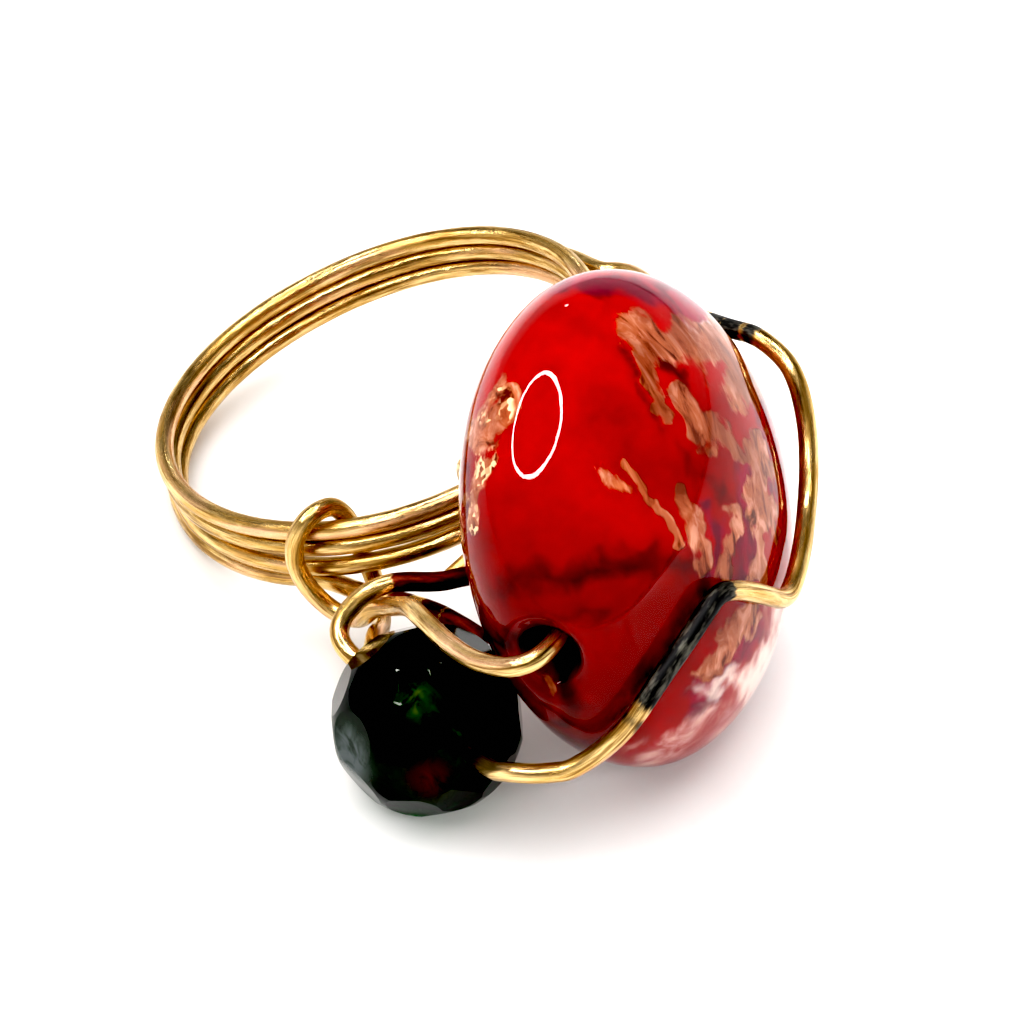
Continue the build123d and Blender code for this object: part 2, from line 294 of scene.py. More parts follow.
# Their routes, as listed points. Rows by the faceted bead are side, front and up, rows by the hoop
# are angle, out and level, and rows by the glass bead are out, along and down.
leadIn = [(0.57, 0.86, 0.01), (0.46, 0.95, 0.09), (0.31, 1.09, 0.15), (0.12, 1.28, 0.19),
          (-0.2, 1.54, 0.2), (-0.5, 1.72, 0.22)]
outerTurn = [(-99.5, 0.90, -2.15), (-104.5, 0.15, -2.35), (-113, -0.35, -2.25), (-127, -0.15, -2.3),
             (-143, 0.0, -2.2), (-160, 0.1, -2.1), (-178, 0.4, -1.98), (-196, 0.85, -1.6),
             (-213, 1.03, -1.0), (-230, 0.98, -0.55), (-248, 0.95, -0.5), (-266, 0.95, -0.5),
             (-284, 0.95, -0.5), (-302, 0.95, -0.5), (-318, 0.95, -0.5), (-330, 1.1, -0.45)]
faceWire = [(-1.02, -1.64, -0.18), (-0.88, -1.60, -0.18), (-0.74, -1.52, -0.18), (-0.60, -1.43, -0.18),
            (-0.44, -1.33, -0.18), (-0.26, -1.23, -0.19), (-0.03, -1.12, -0.20), (0.17, -1.02, -0.22),
            (0.34, -0.96, -0.22), (0.51, -0.91, -0.22), (0.66, -0.86, -0.18), (0.77, -0.82, -0.12),
            (0.82, -0.78, -0.05), (0.84, -0.74, 0.03), (0.85, -0.68, 0.13), (0.85, -0.58, 0.24),
            (0.86, -0.44, 0.33), (0.92, -0.24, 0.37), (0.93, -0.05, 0.42), (0.93, 0.06, 0.40),
            (0.97, 0.22, 0.26), (0.94, 0.37, 0.13), (0.90, 0.46, 0.08), (0.85, 0.54, 0.10),
            (0.77, 0.64, 0.14), (0.66, 0.74, 0.19), (0.54, 0.82, 0.25), (0.39, 0.88, 0.33),
            (0.22, 0.91, 0.40), (0.03, 0.92, 0.46), (-0.14, 0.95, 0.49)]
overFacet = [(1.16, -1.01, -0.13), (1.03, -1.02, -0.09), (0.90, -1.0, -0.06), (0.77, -0.94, -0.06)]
frontLoop = [(-0.69, 0.87, 0.3), (-0.75, 1.01, 0.39), (-0.7, 1.13, 0.48), (-0.56, 1.2, 0.56),
             (-0.38, 1.24, 0.64), (-0.19, 1.26, 0.66), (-0.01, 1.28, 0.61), (0.15, 1.3, 0.53),
             (0.31, 1.33, 0.46), (0.46, 1.41, 0.4)]
hook = [(-69.5, 2.6, -2.15), (-67.5, 1.5, -2.45), (-66.5, 0.75, -2.45), (-66.0, 0.0, -2.42),
        (-65.5, -0.85, -2.08), (-65.0, -1.23, -1.2), (-64.5, -1.23, 0.95), (-64.0, -0.87, 1.82),
        (-63.7, 0.0, 2.14), (-63.5, 0.84, 1.78), (-63.5, 1.21, 0.95), (-65.5, 1.4, -0.3),
        (-69.5, 1.6, -1.1), (-74.0, 1.9, -1.45), (-78.6, 2.1, -1.75)]
frontWrap = [(-95.2, 4.6, -2.75), (-95.5, 3.35, -2.85), (-96.2, 2.1, -3.7), (-97.2, 0.6, -3.8),
             (-98.5, -0.6, -3.45), (-99.5, -1.2, -2.5), (-99.5, -1.15, -1.2), (-99.0, -1.13, 0.2),
             (-99.5, -1.14, 1.12), (-101.0, -0.86, 1.90), (-103.3, -0.1, 2.3), (-106.4, 0.55, 2.15),
             (-109.4, 0.98, 1.4), (-111.3, 1.12, 0.4), (-111.9, 1.12, -0.6), (-111.0, 1.12, -1.77),
             (-108.3, 1.15, -2.85), (-104.5, 1.3, -3.35), (-100.0, 1.85, -3.05), (-96.5, 2.75, -2.05)]
toGlass = [(-0.42, 1.35, 0.36), (-0.27, 1.19, 0.46), (-0.01, 0.82, 0.7), (0.15, 0.5, 0.92),
           (0.32, 0.14, 1.01), (0.55, -0.3, 1.05)]
intoGlass = [(-0.5, 0.96, -0.05), (-0.28, 1.02, -0.05), (-0.13, 1.055, -0.06), (-0.01, 1.045, -0.065),
             (0.06, 0.985, -0.06)]
backWrap = [(-3.0, 3.2, -1.8), (0.5, 1.6, -2.6), (1.5, 0.75, -3.08), (2.0, 0.0, -3.22),
            (2.0, -0.83, -2.82), (2.0, -1.18, -2.0), (2.0, -1.17, 0.05), (2.0, -0.83, 0.82),
            (2.2, 0.0, 1.18), (2.4, 0.83, 0.82), (2.4, 1.17, 0.05), (2.6, 1.17, -1.2)]
throughFacet, throughGlass = (1.12, -1.20), (0.85, -1.06)           # along the holes, in their half lengths


def coilRoute():
    # Level turns, each climbing one level behind the glass bead
    points = []
    for number in range(hoop["turns"] * hoop["perTurn"] + 1):
        travel = number * 360 / hoop["perTurn"]
        turn = min(int(travel // 360), hoop["turns"] - 1)
        climb = min((travel - 360 * turn) / (hoop["end"] - hoop["climbEnd"]), 1)
        level = turn - (hoop["turns"] + 1) / 2 + climb * climb * (3 - 2 * climb)
        angle = hoop["end"] - travel
        if turn == 0:
            off = min(abs(angle - hoop["splitAngle"]) / hoop["splitWidth"], 1)
            level -= hoop["split"] * cos(off * pi / 2) ** 2
        points.append(byHoop(angle, 0, level))
    return points


routes = {
    "hoop_wire": coilRoute(),
    "frame_wire": ([byFacet(*row) for row in leadIn] + [byHoop(*row) for row in outerTurn]
                   + [byGlass(*row) for row in faceWire] + [byFacet(*row) for row in overFacet]
                   + [inFacet(along) for along in throughFacet]
                   + [byFacet(*row) for row in frontLoop] + [byHoop(*row) for row in hook]),
    "bead_wire": ([byHoop(*row) for row in frontWrap] + [byFacet(*row) for row in toGlass]
                  + [byGlass(*row) for row in intoGlass] + [inGlass(along) for along in throughGlass]
                  + [byHoop(*row) for row in backWrap]),
}


def wireTree():
    # Round wire along a curve: slightly uneven, with its cut ends a little rounded
    tree = bpy.data.node_groups.new("drawnWire", "GeometryNodeTree")
    inputs = {}
    for name, kind in (("route", "Object"), ("radius", "Float"), ("step", "Float"), ("sides", "Int"),
                       ("unevenness", "Float"), ("dentScale", "Float"), ("blunt", "Float"),
                       ("bluntReach", "Float"), ("seed", "Float"), ("finish", "Material")):
        socket = tree.interface.new_socket(name, in_out="INPUT", socket_type="NodeSocket" + kind)
        inputs[name] = socket.identifier
    tree.interface.new_socket("wire", in_out="OUTPUT", socket_type="NodeSocketGeometry")
    start = tree.nodes.new("NodeGroupInput")
    given = {name: Flow(tree, start.outputs[name]) for name in inputs}

    def stored(geometry, name, kind, value):
        return plug(tree, "GeometryNodeStoreNamedAttribute", {"data_type": kind, "domain": "POINT"},
                    {"Geometry": geometry, "Name": name, "Value": value})

    def recalled(name, kind):
        return plug(tree, "GeometryNodeInputNamedAttribute", {"data_type": kind}, {"Name": name})

    curve = plug(tree, "GeometryNodeObjectInfo", None, {"Object": given["route"]}, 4)
    curve = plug(tree, "GeometryNodeResampleCurve", {"mode": "LENGTH"},
                 {"Curve": curve, "Length": given["step"]})
    run = plug(tree, "GeometryNodeSplineParameter", None, None, 1)
    whole = plug(tree, "GeometryNodeSplineLength")
    curve = stored(curve, "run", "FLOAT", run / mm)
    toEnd = run.least(whole - run) / given["radius"]
    blunt = 1 - given["blunt"] * (1 - toEnd.step(0.0, given["bluntReach"]))
    dents = plug(tree, "ShaderNodeTexNoise", {"noise_dimensions": "1D"},
                 {"W": run / mm * given["dentScale"] + given["seed"], "Scale": 1.0, "Detail": 3.0})
    scale = blunt * (1 + given["unevenness"] * (dents - 0.5) * 2)
    profile = plug(tree, "GeometryNodeCurvePrimitiveCircle", {"mode": "RADIUS"},
                   {"Resolution": given["sides"], "Radius": given["radius"]})
    place = plug(tree, "GeometryNodeInputPosition")
    around = plug(tree, "ShaderNodeVectorMath", {"operation": "NORMALIZE"}, {0: place})
    profile = stored(profile, "around", "FLOAT_VECTOR", around)
    body = plug(tree, "GeometryNodeCurveToMesh", None,
                {"Curve": curve, "Profile Curve": profile, "Scale": scale, "Fill Caps": True})
    # The finish reads its pattern from this: round the wire, and millimetres along it
    along = plug(tree, "ShaderNodeCombineXYZ", None, {"Z": recalled("run", "FLOAT")})
    wirePlace = plug(tree, "ShaderNodeVectorMath", {"operation": "ADD"},
                     {0: recalled("around", "FLOAT_VECTOR"), 1: along})
    body = stored(body, "wirePlace", "FLOAT_VECTOR", wirePlace)
    body = plug(tree, "GeometryNodeSetShadeSmooth", None, {"Geometry": body, "Shade Smooth": True})
    body = plug(tree, "GeometryNodeRealizeInstances", None, {"Geometry": body})
    body = plug(tree, "GeometryNodeSetMaterial", None, {"Geometry": body, "Material": given["finish"]})
    end = tree.nodes.new("NodeGroupOutput")
    tree.links.new(body.socket, end.inputs[0])
    return tree, inputs


# The two dark reds among these colours are a painted reflection of the red glass bead
brassLook = {"bright": (0.88, 0.66, 0.34), "warm": (0.62, 0.41, 0.16), "line": (0.26, 0.145, 0.046),
             "brown": (0.17, 0.088, 0.030), "peach": (0.88, 0.57, 0.38), "polish": 0.18, "metal": 0.91,
             "black": (0.018, 0.018, 0.019), "ash": (0.11, 0.105, 0.088), "redBeadReflection": (0.060, 0.005, 0.004),
             "redBeadReflectionPale": (0.16, 0.030, 0.012), "lineDepth": 0.010, "dentDepth": 0.035}


def drawnCloud(place, across, along, detail=4.0, rough=0.6):
    # A pattern on the wire, with its fineness across the wire and along it
    return cloud(scaledVector(place, (across, across, along)), 1.0, detail, rough)


def brass(name, look, dark=(), redBeadReflection=()):
    # Drawn brass wire: fine lines along it, soft tarnish, places where it has gone black, and a painted dark
    # red reflection of the glass bead
    material, tree = startMaterial(name)
    place = ownAttribute(tree, "wirePlace", 1)
    lines = drawnCloud(place, 7.0, 0.5)
    fine = drawnCloud(place, 19.0, 1.4, 2.0, 0.5)
    dents = drawnCloud(place, 1.1, 0.9, 2.0, 0.5)
    worn = drawnCloud(place, 0.9, 0.28, 4.0, 0.62).step(0.40, 0.62)
    smear = drawnCloud(place, 1.7, 0.22).step(0.51, 0.66)
    peach = drawnCloud(place, 0.5, 0.16, 2.0, 0.5).step(0.52, 0.68)
    colour = mixed(worn, look["bright"], look["warm"])
    colour = mixed(lines.step(0.46, 0.66) * 0.75, colour, look["line"])
    colour = mixed(smear * 0.75, colour, look["brown"])
    colour = mixed(peach * 0.7, colour, look["peach"])
    rough = look["polish"] + 0.18 * lines.step(0.45, 0.75) + 0.12 * worn
    metal = look["metal"]
    if dark:
        bodySpot = bodyPlace(tree)
        torn = drawnCloud(place, 2.0, 0.9)
        ash = drawnCloud(place, 1.6, 1.3, 3.0)
        patina = (nearAny(bodySpot, dark) + 1.1 * (torn - 0.5)).step(0.25, 0.70)
        # A painted reflection of the red glass bead, dark red where the wire passes close to it
        redBeadReflected = (nearAny(bodySpot, redBeadReflection) + 0.9 * (torn - 0.5)).step(0.25, 0.65)
        colour = mixed(redBeadReflected, colour, mixed(ash.step(0.40, 0.70), look["redBeadReflection"], look["redBeadReflectionPale"]))
        colour = mixed(patina, colour, mixed(ash.step(0.44, 0.70), look["black"], look["ash"]))
        rough = rough + 0.26 * patina + 0.20 * redBeadReflected
        metal = look["metal"] - 0.40 * patina - 0.20 * redBeadReflected
    normal = bumped(0.6 * lines + 0.4 * fine, look["lineDepth"], bumped(dents, look["dentDepth"]))
    endMaterial(tree, shaded(tree, {"Base Color": colour, "Metallic": metal, "Roughness": rough,
                                    "Normal": normal}))
    return material


# Where the face wire has gone dark: the row of its route, and how far that reaches fully and at all, in mm
darkRows = [(7, 0.5, 1.0), (8, 0.5, 1.0), (9, 0.2, 0.8), (22, 0.4, 1.0), (23, 0.8, 1.4), (24, 0.9, 1.5),
            (25, 0.8, 1.5), (26, 0.2, 1.4), (27, 0.0, 0.8)]
darkPlaces = [(byGlass(*faceWire[row]), inner, outer) for row, inner, outer in darkRows]
# A painted reflection of the red glass bead, dark red between the beads: at its cut end, and where its loop
# goes in behind the glass bead
redBeadReflectionReach = (0.4, 1.0)
redBeadReflectionPlaces = [(byFacet(*row), *redBeadReflectionReach) for row in leadIn[:5] + frontLoop[6:]]


def bendWires():
    tree, inputs = wireTree()
    finishes = {"hoop_wire": brass("hoopBrass", brassLook),
                "frame_wire": brass("frameBrass", brassLook, darkPlaces, redBeadReflectionPlaces),
                "bead_wire": brass("beadBrass", brassLook)}
    for number, (name, points) in enumerate(routes.items()):
        data = bpy.data.curves.new(name + "Route", "CURVE")
        data.dimensions = "3D"
        spline = data.splines.new("NURBS")
        spline.points.add(len(points) - 1)
        for point, spot in zip(spline.points, points):
            point.co = (*(spot * mm), 1)
        spline.order_u = 3
        spline.use_endpoint_u = True
        spline.resolution_u = 12
        route = placed(name + "Route", data)
        host = placed(name + "Host", bpy.data.meshes.new(name + "Host"))
        modifier = host.modifiers.new("drawnWire", "NODES")
        modifier.node_group = tree
        for key in ("sides", "unevenness", "dentScale", "blunt", "bluntReach"):
            modifier[inputs[key]] = wire[key]
        for key, value in (("route", route), ("finish", finishes[name]), ("seed", wire["seedStep"] * number),
                           ("radius", wire["radius"] * mm), ("step", wire["step"] * mm)):
            modifier[inputs[key]] = value
        host.update_tag()
        made = bpy.data.meshes.new_from_object(host.evaluated_get(bpy.context.evaluated_depsgraph_get()))
        for extra in (host, route):
            bpy.data.objects.remove(extra)
        made.name = name
        piece = placed("ring_" + name, made)
        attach(piece, "root")
        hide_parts(name)
        print("bent", name, len(made.polygons), "faces, materials", len(made.materials))


bendWires()


# Glass bead: a clear casing over a red core with copper leaf

beadCore = {"casing": 0.40, "holeMore": 0.12, "sink": 0.6, "around": 280, "outer": 180, "inner": 16,
            "spread": 0.9, "flare": 0.04, "waviness": 0.05, "waves": 0.28, "fade": 0.3, "outside": 3.0,
            "warp": 13, "hiddenWarp": 0.7, "warpScale": 0.75, "warpFine": 2.1, "warpFineShare": 0.45,
            "seed": 158}
# Of these, the low and dark reds are painted shade, the pale pinks and the white are partly painted light,
# and the spark is a painted glint
beadLook = {"red": (0.37, 0.001, 0.002), "deepRed": (0.28, 0.001, 0.002), "lowRed": (0.215, 0.001, 0.001),
            "darkRed": (0.045, 0.001, 0.002), "plum": (0.12, 0.004, 0.030), "magenta": (0.30, 0.006, 0.045),
            "rose": (0.33, 0.030, 0.036), "blush": (0.53, 0.175, 0.145), "milkAndPaintedLight": (0.96, 0.84, 0.76),
            "copper": (0.44, 0.165, 0.085), "copperDark": (0.12, 0.024, 0.012),
            "copperPink": (0.66, 0.36, 0.26), "copperRust": (0.24, 0.070, 0.036), "leafDepth": 0.05,
            "spark": (1.0, 0.72, 0.44), "sparkScale": 4.5, "drawn": 0.62,
            "casing": (1.0, 0.975, 0.97), "casingWarm": (1.0, 0.94, 0.93), "bending": 1.42,
            "rippleDepth": 0.02, "pitDepth": 0.0015}


def beadGrid(casing, hole):
    # A closed skin round the hole: from the hole's middle up its wall, over the outside and back in
    around, outer, inner = beadCore["around"], beadCore["outer"], beadCore["inner"]
    full, flat = glassBead["radius"] - casing, glassBead["half"] - casing
    dimple, depth, soft = glassBead["dimple"], glassBead["dimpleDepth"], glassBead["lip"]
    ball = (dimple ** 2 + depth ** 2) / (2 * depth)                  # the ball that would press the dimple
    ballAt = glassBead["radius"] - depth + ball - casing * beadCore["sink"]
    mouth = hole + glassBead["mouth"]
    top = ballAt - sqrt(ball ** 2 - mouth ** 2) - glassBead["mouth"]
    rows = ([("up", number / inner) for number in range(inner)]
            + [("over", number / outer) for number in range(outer + 1)]
            + [("down", number / inner) for number in range(inner)])
    spots = []
    for kind, share in rows:
        for number in range(around):
            turn = 2 * pi * number / around
            if kind == "over":
                wide = 1 / sqrt((cos(turn) / flat) ** 2 + (sin(turn) / full) ** 2)
                out = mouth + (wide - mouth) * sin(pi * (1 - share)) ** beadCore["spread"]
                height = full * sqrt(max(1 - (out / wide) ** 2, 0))
                dent = ballAt - sqrt(max(ball ** 2 - out ** 2, 0))
                if dent < height + soft:                             # the dimple and its rounded lip
                    blend = max(0.5 + 0.5 * (dent - height) / soft, 0)
                    height = dent * (1 - blend) + height * blend - soft * blend * (1 - blend)
                height *= -1 if share < 0.5 else 1
            else:
                height = -top * share if kind == "up" else top * (1 - share)
                edge = max(abs(height) / top - 1 + beadCore["flare"], 0) / beadCore["flare"]
                out = hole + glassBead["mouth"] * edge ** 2
            spot = glassOut * (out * cos(turn)) + glassDown * (out * sin(turn)) + glassHole * height
            if kind == "over":
                swell = beadCore["waviness"] * noise.noise(spot * beadCore["waves"])
                spot *= 1 + swell / glassBead["radius"]
            spots.append(glassMiddle + spot)
    faces = []
    for row in range(len(rows)):
        here, there = row * around, (row + 1) % len(rows) * around
        for number in range(around):
            beside = (number + 1) % around
            faces.append((there + number, there + beside, here + beside, here + number))
    return spots, faces


def skinPiece(name, spots, faces, material):
    mesh = bpy.data.meshes.new(name)
    mesh.from_pydata([spot * mm for spot in spots], [], faces)
    mesh.polygons.foreach_set("use_smooth", [True] * len(mesh.polygons))
    mesh.materials.append(material)
    return placed(name, mesh)


def reach(spots, strokes):
    # How far inside a stroke each spot is: 1 on its line, 0 at its edge
    best = np.full(len(spots), -beadCore["outside"])
    for points, width, weight in strokes:
        line = np.array(points, float)
        for start, end in zip(line[:-1], line[1:]):
            run = end - start
            share = np.clip(((spots - start) @ run) / (run @ run), 0, 1)[:, None]
            far = np.linalg.norm(spots - start - share * run, axis=1)
            best = np.maximum(best, weight * (1 - far / width))
    return best


# What lies under the casing, and painted shade and light on the core, as strokes: points in the photograph's
# pixels, half width, weight
beadStrokes = {
    "leaf": [
        ([(632, 334), (648, 346), (666, 350)], 20, 1), ([(636, 356), (645, 378), (655, 402)], 10, 1),
        ([(684, 340), (708, 348), (728, 368), (742, 392)], 24, 1), ([(654, 414), (662, 424)], 10, 0.9),
        ([(676, 390), (684, 414), (694, 438)], 12, 1), ([(698, 416), (718, 440), (742, 462)], 13, 1),
        ([(604, 474), (624, 488)], 13, 0.6), ([(630, 462), (644, 488), (660, 520), (670, 544)], 8, 1),
        ([(678, 490), (690, 524), (702, 572)], 11, 1), ([(734, 510), (727, 545), (724, 580)], 9, 1),
        ([(752, 440), (758, 485), (757, 540), (753, 580)], 13, 1),
        ([(513, 392), (500, 415), (488, 442)], 14, 1), ([(486, 464), (480, 495), (475, 530)], 10, 1),
        ([(738, 610), (722, 640), (706, 666)], 15, 0.85), ([(542, 676), (550, 694)], 8, 0.8)],
    "plum": [
        ([(566, 286), (620, 288), (672, 302), (716, 332)], 17, 1),
        ([(474, 380), (462, 450), (466, 540)], 12, 1), ([(748, 370), (766, 430), (780, 500)], 13, 1),
        ([(740, 460), (748, 510), (742, 590)], 15, 0.9), ([(748, 622), (720, 662), (694, 704)], 18, 1),
        ([(600, 762), (640, 772), (700, 740)], 16, 0.8), ([(700, 500), (716, 540), (712, 590)], 10, 0.7)],
    # Painted shade: a crease across the bead, round the hole's mouth and in patches
    "dark": [
        ([(508, 590), (548, 576), (600, 566), (650, 562)], 20, 0.66),
        ([(600, 556), (660, 566), (694, 574)], 18, 0.6), ([(520, 604), (560, 622), (604, 612)], 15, 0.4),
        ([(500, 640), (530, 636), (568, 650), (566, 700)], 22, 1),
        ([(540, 716), (578, 748), (620, 730)], 18, 0.6), ([(662, 366), (684, 378), (672, 398)], 13, 0.9),
        ([(620, 350), (636, 392), (656, 436)], 9, 0.6), ([(668, 446), (700, 470), (722, 500)], 12, 0.5),
        ([(700, 560), (706, 600), (660, 660), (616, 716)], 18, 0.6),
        ([(768, 420), (784, 480), (784, 560)], 6, 0.9)],
    # Painted shade, mostly over the lower part of the bead
    "deep": [
        ([(490, 610), (560, 616), (640, 610), (700, 600)], 70, 0.9),
        ([(540, 670), (600, 680), (650, 650)], 70, 1), ([(480, 540), (500, 620)], 30, 0.8),
        ([(570, 720), (620, 710)], 50, 1), ([(470, 380), (466, 520)], 22, 0.9),
        ([(600, 400), (640, 460), (680, 470)], 45, 0.45), ([(700, 420), (730, 500)], 40, 0.6)],
    # Pale pink glass, painted paler with the light that shows through the casing
    "pale": [
        ([(606, 782), (680, 760), (742, 712), (780, 640)], 34, 1),
        ([(764, 600), (772, 650), (736, 700)], 24, 1), ([(690, 332), (736, 350)], 12, 0.7),
        ([(742, 342), (772, 400), (788, 470), (786, 560)], 8, 0.8)],
    # Painted light: white where the casing shows light through it, with milky swirls, and a pale highlight
    # up on the leaf
    "milkAndPaintedLight": [
        ([(782, 606), (774, 646), (750, 680)], 24, 1), ([(720, 702), (672, 738), (620, 764)], 14, 0.28),
        ([(700, 690), (728, 672)], 12, 0.5), ([(694, 330), (716, 336), (738, 352)], 10, 0.6),
        ([(708, 352), (728, 372)], 9, 0.5)],
    # Painted glints on the copper leaf's flakes
    "glitter": [
        ([(488, 458), (481, 495), (475, 532)], 12, 1), ([(508, 396), (496, 420)], 9, 0.7)],
}
# Leaf of the side that the photograph doesn't show, in mm along the hole and down from the middle
hiddenLeaf = [
    ([(-6, -3), (-4.8, -4.2)], 1.7, 1), ([(-2, -5.4), (-0.6, -4.8)], 0.9, 0.9),
    ([(2, -2.4), (3.2, -0.8)], 1.4, 1), ([(5.6, 1.6), (6, 3)], 0.8, 0.8),
    ([(-5, 3), (-3.8, 4.2)], 1.2, 0.9), ([(-0.4, 5.8), (1, 6)], 0.9, 0.9), ([(-8, 0), (-7, 2)], 0.8, 0.9),
    ([(4, -6), (6, -4)], 0.8, 0.9), ([(-1, 1), (0.6, 1.8)], 0.7, 0.8),
]


def paintBead(piece, spots):
    # What lies under the casing, with the painted shade and light, kept as values of the core's own points
    place = np.array([tuple(spot) for spot in spots])
    normals = np.zeros(len(place) * 3)
    piece.data.vertices.foreach_get("normal", normals)
    normals = normals.reshape(-1, 3)
    toCamera = np.array(cameraStand["place"]) - place
    facing = np.einsum("ij,ij->i", normals, toCamera) / np.linalg.norm(toCamera, axis=1)
    noise.seed_set(beadCore["seed"])
    warp = np.array([tuple(noise.noise_vector(spot * beadCore["warpScale"])
                           + noise.noise_vector(spot * beadCore["warpFine"]) * beadCore["warpFineShare"])
                     for spot in spots])[:, :2]
    pixels = toPhoto(place) + warp * beadCore["warp"]
    local = place - np.array(glassMiddle)
    flat = np.stack([local @ np.array(glassHole), local @ np.array(glassDown)], 1)
    # The photograph's strokes fade out past the bead's outline, and the hidden side's leaf before it
    behind = np.clip(-facing / beadCore["fade"], 0, beadCore["outside"])
    ahead = np.clip(1 + facing / beadCore["fade"], 0, beadCore["outside"])
    for name, strokes in beadStrokes.items():
        value = reach(pixels, strokes) - behind
        if name == "leaf":
            value = np.maximum(value, reach(flat + warp * beadCore["hiddenWarp"], hiddenLeaf) - ahead)
        kept = piece.data.attributes.new(name, "FLOAT", "POINT")
        kept.data.foreach_set("value", np.clip(value, -1, 1).astype(np.float32))


# The way that the leaf was pulled while the glass was soft: down and right in the photograph
streakWay = (cameraTurn @ Vector((0.50, -0.86, 0))).normalized()


def drawnOut(place, along, share):
    # The place with its part along one direction made less, so that a pattern on it is drawn out
    tree, along = place.tree, tuple(along)
    part = plug(tree, "ShaderNodeVectorMath", {"operation": "DOT_PRODUCT"}, {0: place, 1: along}, 1)
    less = plug(tree, "ShaderNodeVectorMath", {"operation": "SCALE"}, {0: along, "Scale": part * share})
    return plug(tree, "ShaderNodeVectorMath", {"operation": "SUBTRACT"}, {0: place, 1: less})


def redGlass():
    # The core: clear bright red, darker and smokier in places, with copper leaf; painted shade darkens it,
    # painted light makes it pale and white in places, and painted glints sparkle on the leaf
    material, tree = startMaterial("redCore")
    place = bodyPlace(tree)
    drawn = drawnOut(place, streakWay, beadLook["drawn"])
    soft = cloud(place, 0.22, 3.0, 0.55, 0.6)
    swirl = cloud(place, 0.45, 3.0, 0.5, 1.4)
    torn = cloud(drawn, 1.5, 6.0, 0.66, 0.5)
    folds = cloud(drawn, 1.25, 4.0, 0.58, 1.0)
    fine = cloud(drawn, 4.2, 4.0, 0.65, 0.8)
    tone = cloud(place, 0.5, 2.0, 0.5, 0.5)

    def stroked(name, swirled, tearing, low, high):
        # Where the strokes of one name show, with their edges swirled and torn
        return (ownAttribute(tree, name) + swirled * (swirl - 0.5) + tearing * (torn - 0.5)).step(low, high)

    red = mixed(soft.step(0.35, 0.7), beadLook["red"], beadLook["deepRed"])
    # Painted shade where the deep strokes lie, darker lower down
    red = mixed(0.95 * stroked("deep", 0.8, 0.0, -0.2, 0.9), red, beadLook["lowRed"])
    # Painted shade where the dark strokes lie
    red = mixed(0.9 * stroked("dark", 1.1, 0.4, 0.0, 1.0), red, beadLook["darkRed"])
    smoke = mixed(swirl.step(0.36, 0.62), beadLook["magenta"], beadLook["plum"])
    red = mixed(0.85 * stroked("plum", 1.0, 0.3, 0.0, 0.75), red, smoke)
    # Pale pink glass with painted light showing through it
    hazeAndPaintedLight = mixed(swirl.step(0.30, 0.68), beadLook["rose"], beadLook["blush"])
    red = mixed(0.9 * stroked("pale", 0.9, 0.25, 0.0, 0.65), red, hazeAndPaintedLight)
    # Painted light, white over milky swirls, where the white strokes lie
    red = mixed(0.9 * stroked("milkAndPaintedLight", 0.9, 0.3, -0.05, 0.80), red, beadLook["milkAndPaintedLight"])
    leaf = (ownAttribute(tree, "leaf") + 1.1 * (torn - 0.5) + 0.3 * (fine - 0.5)).step(0.06, 0.42)
    copper = mixed(folds.step(0.34, 0.50), beadLook["copperDark"], beadLook["copper"])
    copper = mixed(folds.step(0.50, 0.64) * 0.8, copper, beadLook["copperPink"])
    copper = mixed(tone.step(0.38, 0.62) * 0.55, copper, beadLook["copperRust"])
    # Painted glints: bright sparks on the leaf where the glitter strokes lie
    spark = plug(tree, "ShaderNodeTexVoronoi", None, {"Vector": place, "Scale": beadLook["sparkScale"]}, 1)
    spark = plug(tree, "ShaderNodeSeparateColor", None, {0: spark}, 0).step(0.55, 0.85)
    copper = mixed(spark * ownAttribute(tree, "glitter").step(0.0, 0.5), copper, beadLook["spark"])
    height = leaf * 0.4 + folds * leaf * 0.8
    endMaterial(tree, shaded(tree, {
        "Base Color": mixed(leaf, red, copper), "Metallic": 0.35 * leaf, "Roughness": 0.5 - 0.14 * leaf,
        "Specular IOR Level": 0.0, "Normal": bumped(height, beadLook["leafDepth"])}))
    return material


def clearGlass():
    # The casing: clear, hardly tinted, with faint ripples and pits
    material, tree = startMaterial("clearCasing")
    place = bodyPlace(tree)
    ripple = cloud(place, 0.35, 2.0)
    pits = cloud(place, 2.6, 4.0, 0.6)
    tint = mixed(pits.step(0.4, 0.7), beadLook["casing"], beadLook["casingWarm"])
    normal = bumped(ripple, beadLook["rippleDepth"], bumped(pits, beadLook["pitDepth"]))
    endMaterial(tree, shaded(tree, {
        "Base Color": tint, "Roughness": 0.015 + 0.02 * pits.step(0.6, 0.8), "IOR": beadLook["bending"],
        "Transmission Weight": 1.0, "Normal": normal}))
    return material


def blowBead():
    spots, faces = beadGrid(0.0, glassBead["hole"])
    shell = skinPiece("glass_casing", spots, faces, clearGlass())
    spots, faces = beadGrid(beadCore["casing"], glassBead["hole"] + beadCore["holeMore"])
    core = skinPiece("glass_core", spots, faces, redGlass())
    paintBead(core, spots)
    for piece in (shell, core):
        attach(piece, "root")
        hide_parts("glass_bead")
    print("glass bead has", len(shell.data.polygons) + len(core.data.polygons), "faces")


blowBead()


# Faceted bead

# Its rows of facets: latitude, how many, how far they are turned in facets, and how far out in radii
facetRows = [(0.0, 10, 0.25, 0.950), (35.0, 10, 0.75, 0.955), (66.0, 5, 0.6, 0.960)]
